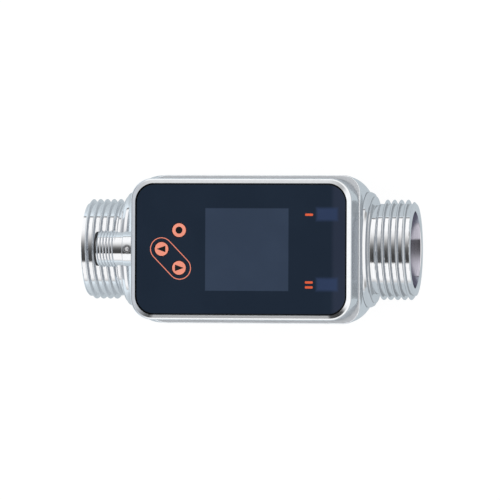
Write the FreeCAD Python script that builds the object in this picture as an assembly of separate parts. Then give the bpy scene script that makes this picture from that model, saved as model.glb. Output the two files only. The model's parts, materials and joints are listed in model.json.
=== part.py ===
import FreeCAD, Part
import math
import os

# Inline electromagnetic flow meter. X runs along the pipe from inlet to outlet, Z points out of the
# display, and the origin is on the flow bore at mid-length. All sizes are millimetres.

# Pipe ends, from the barrel outwards
bore_radius = 12.0
bore_chamfer = 1.0
thread_radius = 16.62
thread_length = 11.8
thread_chamfer = 1.4
neck_depth = 2.02
neck_length = 1.55
collar_step = 0.33
collar_width = 0.9
collar_fall = 1.3
collar_slope = 1.3
collar_groove_width = 0.2
collar_groove_depth = 0.3
collar_lip_width = 0.25
collar_lip_drop = 0.15
spigot_step = 2.1
spigot_overlap = 4.5

# Barrel and saddle of the lower housing
barrel_half_length = 39.0
shoulder_radius = 10.0
shoulder_cut = 1.3
housing_wall = 2.2
saddle_rise = 1.5
saddle_tuck = 0.2
ledge_end = 0.4
ledge_side = 1.2
saddle_corner_outlet = 5.5
saddle_corner_inlet = 10.0
saddle_flange = 2.5
collar_gap = 0.4
opening_corner = 5.0
ledge_round = 0.3

# Display head
head_length = 73.1
head_shift = 3.33
head_corner = 7.2
head_wall = 1.5
head_edge_round = 0.9
head_floor = 1.2
skirt_depth = 2.8
skirt_wall = 1.2
skirt_clearance = 0.2
gasket_thickness = 0.4
gasket_inset = 0.4

# Front window
window_thickness = 1.8
window_recess = 0.2
window_gap = 0.2
window_edge = 0.3
seal_thickness = 0.4
lip_thickness = 1.0
lip_overlap = 2.6

# Keys, placed from the inlet end of the opening under the window
key_radius = 2.35
key_gap = 0.2
key_proud = 0.1
key_travel = 0.4
key_flange_width = 0.55
key_flange_thickness = 0.6
key_stem_radius = 0.8
key_end_gap = 0.1
up_key_inset = 6.25
key_step_x = 5.8
key_step_y = 6.15

# Switching-state windows, placed from the outlet end of the opening under the window
guide_inset = 0.25
guide_y = 11.4
guide_length = 6.6
guide_width = 4.1
guide_shoulder = 0.5

# Display and boards inside the head
display_x = 2.1
display_y = -0.3
display_length = 31.5
display_width = 30.0
carrier_thickness = 1.6
carrier_clearance = 0.2
carrier_slack = 0.25
display_board_end_margin = 2.15
display_board_side_margin = 2.0
display_board_thickness = 1.2
switch_height = 1.2
switch_size = 4.2
switch_floor = 0.1
led_height = 0.8
led_length = 2.0
led_width = 1.2
post_radius = 2.0
post_inset = 3.2
main_board_end_margin = 1.15
main_board_side_margin = 1.0
main_board_thickness = 1.6
board_spacing = 4.6
header_length = 16.0
header_width = 5.0
header_y = -12.0
screw_radius = 0.85
screw_depth = 4.0
screw_head_radius = 1.7
screw_head_height = 1.2
chip_size = 9.0
chip_height = 1.4
capacitor_radius = 3.0
capacitor_height = 2.6
transformer_size = 8.0
transformer_height = 2.8

# Plug connector
plug_floor_gap = 0.2
plug_roof_gap = 0.4
plug_boss_radius = 5.7
plug_boss_length = 3.5
plug_neck_radius = 5.4
plug_neck_length = 2.4
plug_thread_radius = 6.0
plug_thread_length = 7.0
plug_chamfer = 0.5
plug_spigot_radius = 4.9
plug_spigot_reach = 0.6
plug_socket_radius = 4.35
plug_socket_depth = 7.5
plug_rear_radius = 3.6
plug_clearance = 0.05
plug_key_width = 1.2
plug_key_depth = 0.6
pin_radius = 0.5
pin_circle = 2.5
pin_reach = 6.5
pin_tail = 1.5
plug_seal_width = 1.2
plug_seal_depth = 0.6
grub_radius = 1.25
grub_seat = 0.4
grub_socket_radius = 0.65
grub_socket_depth = 0.6

# Measuring tube, electrodes and magnet
tube_wall = 2.0
tube_setback = 3.0
seal_width = 1.6
seal_depth = 0.9
seal_inset = 1.4
tube_clearance = 0.1
electrode_radius = 1.5
electrode_end_gap = 0.8
electrode_boss_radius = 4.0
electrode_boss_height = 3.0
electrode_seal_width = 1.0
electrode_seal_height = 1.6
electrode_nut_flats = 5.5
electrode_nut_height = 1.8
shoe_thickness = 1.0
shoe_length = 18.0
shoe_width = 17.0
core_radius = 3.0
coil_room = 5.6
yoke_clearance = 0.5
yoke_thickness = 1.2
yoke_width = 14.0
yoke_window_radius = 3.4
rivet_radius = 2.0
bobbin_radius = 6.0
bobbin_wall = 0.6
bobbin_gap = 0.2
coil_inset = 0.3

# Places worked out from the sizes above
tube_radius = bore_radius + tube_wall
tube_half_length = barrel_half_length - tube_setback
shoe_radius = tube_radius + shoe_thickness
yoke_inner_radius = shoe_radius + coil_room
yoke_radius = yoke_inner_radius + yoke_thickness
bobbin_top = math.sqrt(yoke_inner_radius ** 2 - bobbin_radius ** 2) - bobbin_gap
coil_low = shoe_radius + bobbin_wall
coil_high = bobbin_top - bobbin_wall
coil_radius = bobbin_radius - coil_inset
electrode_end = yoke_inner_radius - electrode_end_gap
electrode_boss_end = tube_radius + electrode_boss_height
electrode_seal_radius = electrode_radius + electrode_seal_width
barrel_radius = yoke_radius + yoke_clearance + housing_wall
shoulder_start = barrel_half_length + shoulder_cut - shoulder_radius
seat_drop = math.sqrt(shoulder_radius ** 2 - (shoulder_radius - shoulder_cut) ** 2)
collar_radius = barrel_radius - shoulder_radius + seat_drop - collar_step
spigot_radius = collar_radius - spigot_step
neck_radius = thread_radius - neck_depth
collar_edge = barrel_half_length + collar_width
collar_ring = collar_edge + collar_slope
collar_ring_radius = collar_radius - collar_fall
collar_lip = collar_ring + collar_groove_width
collar_end = collar_lip + collar_lip_width
thread_start = collar_end + neck_length
half_length = thread_start + thread_length
saddle_top = barrel_radius + saddle_rise
saddle_length = head_length + 2 * ledge_end
saddle_width = 2 * (barrel_radius - saddle_tuck)
head_width = saddle_width - 2 * ledge_side
flare_low = collar_radius + collar_gap
flare_high = saddle_top - saddle_flange
neck_low_x = head_shift - saddle_length / 2
opening_length = saddle_length - 2 * housing_wall
opening_width = saddle_width - 2 * housing_wall
head_base = saddle_top + gasket_thickness
head_inlet_x = head_shift - head_length / 2
plug_height = head_base + plug_floor_gap + plug_boss_radius
lip_base = plug_height + plug_spigot_radius + plug_roof_gap
lip_top = lip_base + lip_thickness
window_base = lip_top + seal_thickness
window_top = window_base + window_thickness
head_top = window_top + window_recess
rebate_length = head_length - 2 * head_wall
rebate_width = head_width - 2 * head_wall
rebate_corner = head_corner - head_wall
lip_length = rebate_length - 2 * lip_overlap
lip_width = rebate_width - 2 * lip_overlap
skirt_length = opening_length - 2 * skirt_clearance
skirt_width = opening_width - 2 * skirt_clearance
skirt_inner_length = skirt_length - 2 * skirt_wall
skirt_inner_width = skirt_width - 2 * skirt_wall
carrier_length = skirt_inner_length - 2 * carrier_clearance
carrier_width = skirt_inner_width - 2 * carrier_clearance
carrier_corner = opening_corner - skirt_clearance - skirt_wall - carrier_clearance
carrier_base = lip_base - carrier_thickness
board_top = carrier_base
display_board_base = board_top - display_board_thickness
display_board_length = carrier_length - 2 * display_board_end_margin
display_board_width = carrier_width - 2 * display_board_side_margin
main_board_length = carrier_length - 2 * main_board_end_margin
main_board_width = carrier_width - 2 * main_board_side_margin
main_board_top = display_board_base - board_spacing
main_board_base = main_board_top - main_board_thickness
post_x = carrier_length / 2 - post_inset
post_y = carrier_width / 2 - post_inset
up_key_x = head_shift - lip_length / 2 + up_key_inset
key_flange_radius = key_radius + key_flange_width
key_places = {
    "enter_key": (up_key_x + key_step_x, key_step_y),
    "up_key": (up_key_x, 0.0),
    "down_key": (up_key_x + key_step_x, -key_step_y),
}
guide_x = head_shift + lip_length / 2 - guide_inset - guide_length / 2
guide_places = {
    "upper_light_guide": (guide_x, guide_y),
    "lower_light_guide": (guide_x, -guide_y),
}
post_places = [(head_shift + sx * post_x, sy * post_y) for sx in (-1, 1) for sy in (-1, 1)]
plug_face_x = head_inlet_x - plug_boss_length
plug_thread_x = plug_face_x - plug_neck_length
plug_end_x = plug_thread_x - plug_thread_length
plug_inner_x = head_inlet_x + head_wall + plug_spigot_reach
plug_floor_x = plug_end_x + plug_socket_depth
vector = FreeCAD.Vector
along_x = vector(1, 0, 0)
along_y = vector(0, 1, 0)
along_z = vector(0, 0, 1)


def cylinder_x(radius, x_low, x_high, y=0.0, z=0.0):
    return Part.makeCylinder(radius, x_high - x_low, vector(x_low, y, z), along_x)


def cylinder_y(radius, y_low, y_high, x=0.0, z=0.0):
    return Part.makeCylinder(radius, y_high - y_low, vector(x, y_low, z), along_y)


def cylinder_z(radius, z_low, z_high, x=0.0, y=0.0):
    return Part.makeCylinder(radius, z_high - z_low, vector(x, y, z_low), along_z)


def block(length, width, z_low, z_high, x=0.0, y=0.0):
    """Box centred on x and y."""
    corner = vector(x - length / 2, y - width / 2, z_low)
    return Part.makeBox(length, width, z_high - z_low, corner)


def rounded_wire(length, width, corner_low, corner_high, z, x):
    """Rounded rectangle in a level plane, with one corner radius at each end of X."""
    half_x = length / 2
    half_y = width / 2
    turn = math.sqrt(0.5)
    ends = []
    for side_x, side_y, radius in (
        (1, -1, corner_high), (1, 1, corner_high), (-1, 1, corner_low), (-1, -1, corner_low)
    ):
        centre = vector(x + side_x * (half_x - radius), side_y * (half_y - radius), z)
        on_x = centre + vector(side_x * radius, 0, 0)
        on_y = centre + vector(0, side_y * radius, 0)
        middle = centre + vector(side_x * radius * turn, side_y * radius * turn, 0)
        first, last = (on_y, on_x) if side_x * side_y < 0 else (on_x, on_y)
        ends.append((first, middle, last))
    edges = []
    for place, (first, middle, last) in enumerate(ends):
        edges.append(Part.Arc(first, middle, last).toShape())
        edges.append(Part.makeLine(last, ends[(place + 1) % len(ends)][0]))
    return Part.Wire(edges)


def rounded_plate(length, width, corner, z_low, z_high, x=head_shift, corner_low=None):
    """Upright prism with rounded corners, centred on the head."""
    wire = rounded_wire(length, width, corner if corner_low is None else corner_low, corner, z_low, x)
    return Part.Face(wire).extrude(vector(0, 0, z_high - z_low))


def turned(points):
    """Solid of revolution about the pipe axis from (x, radius) points."""
    outline = [vector(x, 0, radius) for x, radius in points]
    face = Part.Face(Part.makePolygon(outline + outline[:1]))
    return face.revolve(vector(0, 0, 0), along_x, 360)


def shoulder_profile(half, radius, start, curve):
    """Edges from the middle of the barrel to its end: straight, then a round shoulder."""
    centre = radius - curve
    reach = half - start
    angle = math.asin(reach / curve)
    end = vector(half, 0, centre + curve * math.cos(angle))
    middle = vector(start + curve * math.sin(angle / 2), 0, centre + curve * math.cos(angle / 2))
    corner = vector(start, 0, radius)
    return corner, middle, end


def barrel(half, radius, start, curve):
    """Barrel of revolution with round shoulders at both ends."""
    corner, middle, end = shoulder_profile(half, radius, start, curve)
    flip = lambda point: vector(-point.x, point.y, point.z)
    edges = [
        Part.makeLine(flip(corner), corner),
        Part.Arc(corner, middle, end).toShape(),
        Part.makeLine(end, vector(half, 0, 0)),
        Part.makeLine(vector(half, 0, 0), vector(-half, 0, 0)),
        Part.makeLine(vector(-half, 0, 0), flip(end)),
        Part.Arc(flip(end), flip(middle), flip(corner)).toShape(),
    ]
    return Part.Face(Part.Wire(edges)).revolve(vector(0, 0, 0), along_x, 360)


def level_edges(shape, height):
    """Edges that lie wholly at one height."""
    near = 1e-4
    return [
        edge for edge in shape.Edges
        if abs(edge.BoundBox.ZMin - height) < near and abs(edge.BoundBox.ZMax - height) < near
    ]


def lower_housing():
    body = barrel(barrel_half_length, barrel_radius, shoulder_start, shoulder_radius)
    neck_length_x = barrel_half_length - neck_low_x
    neck_x = (barrel_half_length + neck_low_x) / 2
    neck = rounded_plate(neck_length_x, saddle_width, saddle_corner_inlet, 0, flare_low, neck_x)
    lower = rounded_wire(
        neck_length_x, saddle_width, saddle_corner_inlet, saddle_corner_inlet, flare_low, neck_x)
    upper = rounded_wire(
        saddle_length, saddle_width, saddle_corner_inlet, saddle_corner_outlet, flare_high, head_shift)
    flare = Part.makeLoft([lower, upper], True, True)
    flange = rounded_plate(
        saddle_length, saddle_width, saddle_corner_outlet, flare_high, saddle_top,
        corner_low=saddle_corner_inlet)
    flange = flange.makeFillet(ledge_round, level_edges(flange, saddle_top))
    body = body.fuse([neck, flare, flange]).removeSplitter()
    inner_half = barrel_half_length - housing_wall
    hollow = barrel(
        inner_half, barrel_radius - housing_wall, shoulder_start - housing_wall, shoulder_radius)
    room_low_x = neck_low_x + housing_wall
    room = rounded_plate(
        inner_half - room_low_x, opening_width, shoulder_radius - housing_wall, 0, flare_low,
        (inner_half + room_low_x) / 2)
    mouth = rounded_plate(opening_length, opening_width, opening_corner, flare_low, saddle_top)
    pipe_hole = cylinder_x(spigot_radius, -half_length, half_length)
    for space in (hollow, room, mouth, pipe_hole):
        body = body.cut(space)
    return body


def adapter(side):
    """Turned pipe end on the inlet (-1) or outlet (+1) side."""
    spigot_end = tube_half_length - spigot_overlap
    socket_radius = tube_radius + tube_clearance
    groove_radius = collar_ring_radius - collar_groove_depth
    outline = [
        (half_length, bore_radius + bore_chamfer),
        (half_length, thread_radius - thread_chamfer),
        (half_length - thread_chamfer, thread_radius),
        (thread_start, thread_radius),
        (thread_start, neck_radius),
        (collar_end, neck_radius),
        (collar_end, collar_ring_radius - collar_lip_drop),
        (collar_lip, collar_ring_radius - collar_lip_drop),
        (collar_lip, groove_radius),
        (collar_ring, groove_radius),
        (collar_ring, collar_ring_radius),
        (collar_edge, collar_radius),
        (barrel_half_length, collar_radius),
        (barrel_half_length, spigot_radius),
        (spigot_end, spigot_radius),
        (spigot_end, socket_radius),
        (tube_half_length, socket_radius),
        (tube_half_length, bore_radius),
        (half_length - bore_chamfer, bore_radius),
    ]
    return turned([(side * x, radius) for x, radius in outline])


def measuring_tube():
    tube = cylinder_x(tube_radius, -tube_half_length, tube_half_length)
    bosses = cylinder_y(electrode_boss_radius, -electrode_boss_end, electrode_boss_end)
    tube = tube.fuse(bosses).removeSplitter()
    cuts = [cylinder_x(bore_radius, -tube_half_length, tube_half_length)]
    cuts.append(cylinder_y(electrode_radius, -electrode_boss_end, electrode_boss_end))
    pocket = electrode_boss_end - electrode_seal_height
    for side in (-1, 1):
        low, high = sorted((side * pocket, side * electrode_boss_end))
        cuts.append(cylinder_y(electrode_seal_radius, low, high))
        cuts.append(tube_seal(side))
    return tube.cut(cuts)


def tube_seal(side):
    """Seal ring in the groove near one end of the measuring tube."""
    outer = tube_radius + tube_clearance
    inner = tube_radius - seal_depth
    far = tube_half_length - seal_inset
    low, high = sorted((side * far, side * (far - seal_width)))
    return cylinder_x(outer, low, high).cut(cylinder_x(inner, low, high))


def electrode(side):
    low, high = sorted((0, side * electrode_end))
    flow = cylinder_x(bore_radius, -tube_half_length, tube_half_length)
    return cylinder_y(electrode_radius, low, high).cut(flow)


def electrode_seal(side):
    near = electrode_boss_end - electrode_seal_height
    low, high = sorted((side * near, side * electrode_boss_end))
    ring = cylinder_y(electrode_seal_radius, low, high)
    return ring.cut(cylinder_y(electrode_radius, low, high))


def electrode_nut(side):
    low, high = sorted((side * electrode_boss_end, side * (electrode_boss_end + electrode_nut_height)))
    across_corners = electrode_nut_flats / math.sqrt(3)
    turns = [math.radians(60 * corner) for corner in range(6)]
    outline = [vector(across_corners * math.cos(a), low, across_corners * math.sin(a)) for a in turns]
    hexagon = Part.Face(Part.makePolygon(outline + outline[:1]))
    prism = hexagon.extrude(vector(0, high - low, 0))
    return prism.cut(cylinder_y(electrode_radius, low, high))


def below(shape):
    """Copy of an upper magnet piece turned over to the lower side."""
    return shape.mirror(vector(0, 0, 0), along_z)


def pole_core():
    shell = cylinder_x(shoe_radius, -shoe_length / 2, shoe_length / 2)
    shoe = shell.common(block(shoe_length, shoe_width, 0, shoe_radius))
    pole = cylinder_z(core_radius, 0, yoke_radius)
    pole = pole.common(cylinder_x(yoke_inner_radius, -shoe_length / 2, shoe_length / 2))
    rivet = cylinder_z(rivet_radius, 0, yoke_radius)
    rivet = rivet.common(cylinder_x(yoke_radius, -shoe_length / 2, shoe_length / 2))
    core = shoe.fuse([pole, rivet]).removeSplitter()
    return core.cut(cylinder_x(tube_radius, -shoe_length, shoe_length))


def bobbin():
    spool = cylinder_z(bobbin_radius, shoe_radius, bobbin_top)
    return spool.cut([coil(), ring_cut(), cylinder_z(core_radius, shoe_radius, bobbin_top)])


def ring_cut():
    """Space outside the coil, between the two flanges of the bobbin."""
    rim = bobbin_radius + bobbin_wall
    return cylinder_z(rim, coil_low, coil_high).cut(cylinder_z(coil_radius, coil_low, coil_high))


def coil():
    hub = core_radius + bobbin_wall
    return cylinder_z(coil_radius, coil_low, coil_high).cut(cylinder_z(hub, coil_low, coil_high))


def flux_yoke():
    half = yoke_width / 2
    band = cylinder_x(yoke_radius, -half, half).cut(cylinder_x(yoke_inner_radius, -half, half))
    rivet_hole = cylinder_z(rivet_radius, -yoke_radius, yoke_radius)
    lead_hole = cylinder_y(yoke_window_radius, -yoke_radius, yoke_radius)
    return band.cut([rivet_hole, lead_hole])


def head_cover():
    shell = rounded_plate(head_length, head_width, head_corner, head_base, head_top)
    shell = shell.makeFillet(head_edge_round, level_edges(shell, head_top))
    skirt = rounded_plate(
        skirt_length, skirt_width, opening_corner - skirt_clearance, head_base - skirt_depth, head_base)
    boss = cylinder_x(plug_boss_radius, plug_face_x, head_inlet_x + head_wall, 0, plug_height)
    shell = shell.fuse([skirt, boss]).removeSplitter()
    floor_top = head_base + head_floor
    inner_corner = opening_corner - skirt_clearance - skirt_wall
    way_in = rounded_plate(
        skirt_inner_length, skirt_inner_width, inner_corner, head_base - skirt_depth, floor_top)
    room = rounded_plate(rebate_length, rebate_width, rebate_corner, floor_top, lip_base)
    view = rounded_plate(lip_length, lip_width, rebate_corner, lip_base, lip_top)
    rebate = rounded_plate(rebate_length, rebate_width, rebate_corner, lip_top, head_top)
    plug_bore = cylinder_x(
        plug_spigot_radius + plug_clearance, plug_face_x, plug_inner_x, 0, plug_height)
    return shell.cut([way_in, room, view, rebate, plug_bore, grub_hole()])


def head_gasket():
    outer = rounded_plate(
        head_length - 2 * gasket_inset, head_width - 2 * gasket_inset, head_corner - gasket_inset,
        saddle_top, head_base)
    return outer.cut(
        rounded_plate(opening_length, opening_width, opening_corner, saddle_top, head_base))


def window_seal():
    outer = rounded_plate(
        rebate_length - 2 * window_gap, rebate_width - 2 * window_gap, rebate_corner - window_gap,
        lip_top, window_base)
    return outer.cut(rounded_plate(lip_length, lip_width, rebate_corner, lip_top, window_base))


def front_window():
    pane = rounded_plate(
        rebate_length - 2 * window_gap, rebate_width - 2 * window_gap, rebate_corner - window_gap,
        window_base, window_top)
    pane = pane.makeChamfer(window_edge, level_edges(pane, window_top))
    holes = [
        cylinder_z(key_radius + key_gap, window_base, window_top, x, y) for x, y in key_places.values()
    ]
    return pane.cut(holes)


def key(x, y):
    """Round key: cap in the window, flange under it and a stem into its switch."""
    cap_top = window_top + key_proud
    flange_base = window_base - key_flange_thickness
    stem_end = board_top + switch_floor + key_end_gap + key_travel
    cap = cylinder_z(key_radius, flange_base, cap_top, x, y)
    flange = cylinder_z(key_flange_radius, flange_base, window_base, x, y)
    stem = cylinder_z(key_stem_radius, stem_end, flange_base, x, y)
    return cap.fuse([flange, stem]).removeSplitter()


def key_switches():
    bodies = []
    for x, y in key_places.values():
        body = block(switch_size, switch_size, board_top, board_top + switch_height, x, y)
        well = cylinder_z(
            key_stem_radius + key_gap, board_top + switch_floor, board_top + switch_height, x, y)
        bodies.append(body.cut(well))
    return Part.makeCompound(bodies)


def light_guide(x, y):
    """Clear block under the window with a narrower nose that reaches down to its lamp."""
    nose_end = board_top + led_height + carrier_slack
    head = block(guide_length, guide_width, lip_base, window_base, x, y)
    nose = block(
        guide_length - 2 * guide_shoulder, guide_width - 2 * guide_shoulder, nose_end, lip_base, x, y)
    return head.fuse(nose).removeSplitter()


def status_leds():
    lamps = [
        block(led_length, led_width, board_top, board_top + led_height, x, y)
        for x, y in guide_places.values()
    ]
    return Part.makeCompound(lamps)


def display_carrier():
    plate = rounded_plate(carrier_length, carrier_width, carrier_corner, carrier_base, lip_base)
    posts = [cylinder_z(post_radius, main_board_top, carrier_base, x, y) for x, y in post_places]
    plate = plate.fuse(posts).removeSplitter()
    cuts = [
        block(
            display_length + 2 * carrier_slack, display_width + 2 * carrier_slack,
            carrier_base, lip_base, head_shift + display_x, display_y)
    ]
    for x, y in key_places.values():
        cuts.append(cylinder_z(switch_size * math.sqrt(0.5) + carrier_slack, carrier_base, lip_base, x, y))
    for x, y in guide_places.values():
        cuts.append(
            block(
                guide_length - 2 * guide_shoulder + 2 * carrier_slack,
                guide_width - 2 * guide_shoulder + 2 * carrier_slack, carrier_base, lip_base, x, y))
    for x, y in post_places:
        cuts.append(cylinder_z(screw_radius, main_board_top, main_board_top + screw_depth, x, y))
    return plate.cut(cuts)


def display_board():
    board = block(display_board_length, display_board_width, display_board_base, board_top, head_shift)
    notch = post_radius + carrier_slack
    return board.cut([cylinder_z(notch, display_board_base, board_top, x, y) for x, y in post_places])


def display_module():
    return block(
        display_length, display_width, board_top, window_base, head_shift + display_x, display_y)


def main_board():
    board = block(main_board_length, main_board_width, main_board_base, main_board_top, head_shift)
    holes = [cylinder_z(screw_radius, main_board_base, main_board_top, x, y) for x, y in post_places]
    return board.cut(holes)


def board_components():
    """Processor, coil driver transformer and storage capacitors on the main board."""
    top = main_board_top
    parts = [block(chip_size, chip_size, top, top + chip_height, head_shift + chip_size)]
    parts.append(
        block(transformer_size, transformer_size, top, top + transformer_height,
              head_shift - transformer_size))
    for side in (-1, 1):
        place = head_shift + main_board_length / 2 - 3 * capacitor_radius
        parts.append(
            cylinder_z(capacitor_radius, top, top + capacitor_height, place, side * 2 * capacitor_radius))
    return Part.makeCompound(parts)


def board_header():
    """Stacking plug between the main board and the display board."""
    return block(
        header_length, header_width, main_board_top, display_board_base, head_shift, header_y)


def board_screws():
    screws = []
    for x, y in post_places:
        shank = cylinder_z(screw_radius, main_board_base, main_board_top + screw_depth, x, y)
        head = cylinder_z(screw_head_radius, main_board_base - screw_head_height, main_board_base, x, y)
        screws.append(shank.fuse(head).removeSplitter())
    return Part.makeCompound(screws)


def plug_ring(outer, inner, x_low, x_high):
    """Ring about the connector axis."""
    return cylinder_x(outer, x_low, x_high, 0, plug_height).cut(
        cylinder_x(inner, x_low, x_high, 0, plug_height))


def connector_seal():
    low = head_inlet_x
    return plug_ring(
        plug_spigot_radius + plug_clearance, plug_spigot_radius - plug_seal_depth, low,
        low + plug_seal_width)


def grub_hole():
    high = plug_height + plug_boss_radius
    return cylinder_z(grub_radius, plug_height + plug_spigot_radius - grub_seat, high, grub_x())


def grub_x():
    return (plug_face_x + head_inlet_x) / 2


def connector_grub_screw():
    hole = grub_hole()
    limit = cylinder_x(plug_boss_radius, plug_face_x, head_inlet_x, 0, plug_height)
    screw = hole.common(limit)
    top = screw.BoundBox.ZMax
    return screw.cut(cylinder_z(grub_socket_radius, top - grub_socket_depth, top, grub_x()))


def connector_shell():
    thread = cylinder_x(plug_thread_radius, plug_end_x, plug_thread_x, 0, plug_height)
    rim = [edge for edge in thread.Edges if abs(edge.BoundBox.XMax - plug_end_x) < 1e-4]
    thread = thread.makeChamfer(plug_chamfer, rim)
    neck = cylinder_x(plug_neck_radius, plug_thread_x, plug_face_x, 0, plug_height)
    spigot = cylinder_x(plug_spigot_radius, plug_face_x, plug_inner_x, 0, plug_height)
    socket = cylinder_x(plug_socket_radius, plug_end_x, plug_floor_x, 0, plug_height)
    rear = cylinder_x(plug_rear_radius, plug_floor_x, plug_inner_x, 0, plug_height)
    return thread.fuse([neck, spigot]).removeSplitter().cut([socket, rear, connector_seal(), grub_hole()])


def connector_insert():
    """Insulator that fills the rear of the shell and carries the pins and the coding rib."""
    body = cylinder_x(plug_rear_radius, plug_floor_x, plug_inner_x, 0, plug_height)
    rib_base = plug_height + plug_socket_radius - plug_key_depth
    rib = block(
        pin_reach, plug_key_width, rib_base, plug_height + plug_socket_radius,
        plug_floor_x - pin_reach / 2)
    rib = rib.common(cylinder_x(plug_socket_radius, plug_end_x, plug_floor_x, 0, plug_height))
    plate = cylinder_x(plug_socket_radius, plug_floor_x - plug_key_depth, plug_floor_x, 0, plug_height)
    return body.fuse([plate, rib]).removeSplitter().cut(pin_list())


def pin_list():
    pins = []
    offset = pin_circle * math.sqrt(0.5)
    for side_y in (-1, 1):
        for side_z in (-1, 1):
            pins.append(
                cylinder_x(
                    pin_radius, plug_floor_x - pin_reach, plug_inner_x + pin_tail, side_y * offset,
                    plug_height + side_z * offset))
    return pins


pieces = {
    "lower_housing": lower_housing(),
    "inlet_adapter": adapter(-1),
    "outlet_adapter": adapter(1),
    "measuring_tube": measuring_tube(),
    "inlet_tube_seal": tube_seal(-1),
    "outlet_tube_seal": tube_seal(1),
    "left_electrode": electrode(1),
    "right_electrode": electrode(-1),
    "left_electrode_seal": electrode_seal(1),
    "right_electrode_seal": electrode_seal(-1),
    "left_electrode_nut": electrode_nut(1),
    "right_electrode_nut": electrode_nut(-1),
    "upper_pole_core": pole_core(),
    "lower_pole_core": below(pole_core()),
    "upper_bobbin": bobbin(),
    "lower_bobbin": below(bobbin()),
    "upper_coil": coil(),
    "lower_coil": below(coil()),
    "flux_yoke": flux_yoke(),
    "head_cover": head_cover(),
    "head_gasket": head_gasket(),
    "front_window": front_window(),
    "window_seal": window_seal(),
    "display_carrier": display_carrier(),
    "display_board": display_board(),
    "display_module": display_module(),
    "key_switches": key_switches(),
    "status_leds": status_leds(),
    "main_board": main_board(),
    "board_components": board_components(),
    "board_header": board_header(),
    "board_screws": board_screws(),
    "connector_shell": connector_shell(),
    "connector_insert": connector_insert(),
    "connector_pins": Part.makeCompound(pin_list()),
    "connector_seal": connector_seal(),
    "connector_grub_screw": connector_grub_screw(),
}
for name, (x, y) in key_places.items():
    pieces[name] = key(x, y)
for name, (x, y) in guide_places.items():
    pieces[name] = light_guide(x, y)

os.makedirs("parts", exist_ok=True)
for name, shape in pieces.items():
    shape.exportStep("parts/" + name + ".step")
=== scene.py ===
"""Looks of an inline electromagnetic flow meter with threaded pipe ends and a display head.

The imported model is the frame, and each piece is placed from its boxes. Sizes in the classes are
millimetres. X runs along the pipe from inlet to outlet and Z points out of the display.
"""
import functools
import json
import logging
import math
from collections.abc import Callable, Iterable, Mapping, Sequence
from dataclasses import dataclass
from enum import Enum
from typing import Any, ClassVar

import bmesh
import bpy
from mathutils import Matrix, Vector

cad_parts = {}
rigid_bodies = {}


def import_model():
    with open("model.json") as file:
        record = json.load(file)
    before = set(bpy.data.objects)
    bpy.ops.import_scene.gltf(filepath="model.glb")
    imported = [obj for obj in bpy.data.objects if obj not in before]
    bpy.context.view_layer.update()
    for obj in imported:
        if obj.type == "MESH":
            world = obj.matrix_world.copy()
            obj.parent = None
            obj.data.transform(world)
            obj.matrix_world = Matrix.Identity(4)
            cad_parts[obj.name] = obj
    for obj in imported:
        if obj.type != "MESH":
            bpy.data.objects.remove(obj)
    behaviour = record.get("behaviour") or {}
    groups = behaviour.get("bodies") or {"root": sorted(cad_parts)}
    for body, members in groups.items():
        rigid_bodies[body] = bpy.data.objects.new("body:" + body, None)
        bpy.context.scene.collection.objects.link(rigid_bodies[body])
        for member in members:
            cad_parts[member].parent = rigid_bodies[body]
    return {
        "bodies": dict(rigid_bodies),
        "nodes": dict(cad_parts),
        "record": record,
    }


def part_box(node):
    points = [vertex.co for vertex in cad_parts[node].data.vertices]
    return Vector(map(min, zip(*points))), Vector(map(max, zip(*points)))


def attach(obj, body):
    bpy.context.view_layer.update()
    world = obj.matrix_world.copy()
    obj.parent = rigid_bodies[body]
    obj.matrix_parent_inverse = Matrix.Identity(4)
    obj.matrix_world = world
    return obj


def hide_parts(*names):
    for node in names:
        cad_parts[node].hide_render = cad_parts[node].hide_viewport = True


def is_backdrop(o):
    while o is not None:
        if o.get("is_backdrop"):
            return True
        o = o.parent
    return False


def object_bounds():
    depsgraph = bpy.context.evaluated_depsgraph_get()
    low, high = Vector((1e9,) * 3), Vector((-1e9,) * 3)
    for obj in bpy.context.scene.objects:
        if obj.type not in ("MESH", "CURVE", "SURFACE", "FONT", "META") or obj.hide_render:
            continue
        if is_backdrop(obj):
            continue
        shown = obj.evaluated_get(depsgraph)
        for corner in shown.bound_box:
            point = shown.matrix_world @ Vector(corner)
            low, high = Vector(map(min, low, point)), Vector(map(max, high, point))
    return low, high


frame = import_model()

MM = 0.001
PHOTO_SIZE = 500
SHARP_ANGLE = math.radians(32)
MERGE_DISTANCE = 1e-7
LEAST_CORNER = 0.3
CORNER_SHARE = 0.45
OVERCUT = 1.0
SMALL_RING, KEY_RING, WIDE_RING = 48, 64, 96
CORNERS = ((1, 1), (-1, 1), (-1, -1), (1, -1))

Pair = tuple[float, float]
Fade = tuple[float, float, float, float]
Colour = tuple[float, float, float]
Outline = list[Pair]
Node = bpy.types.Node
Object = bpy.types.Object
Socket = bpy.types.NodeSocket
Tree = bpy.types.NodeTree
WHITE: Colour = (1.0, 1.0, 1.0)
log = logging.getLogger("flow_meter")


class Side(Enum):
    """End of the pipe, as the sign of X."""

    INLET = -1
    OUTLET = 1


class Turning(Enum):
    """Axis of a turned piece, as the order of along, across and up in X, Y and Z."""

    ALONG_PIPE = (0, 1, 2)
    UPRIGHT = (1, 2, 0)

    def point(self, along: float, radius: float, angle: float) -> Vector:
        """Returns the point at a place along the axis, a distance from it and a turn about it."""
        spot = (along, radius * math.cos(angle), radius * math.sin(angle))
        return Vector([spot[place] for place in self.value])


class KeyMark(Enum):
    """Sign on the cap of a key, as the direction its arrow points along X."""

    DOT = 0
    TOWARDS_INLET = -1
    TOWARDS_OUTLET = 1


# Node trees


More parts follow.
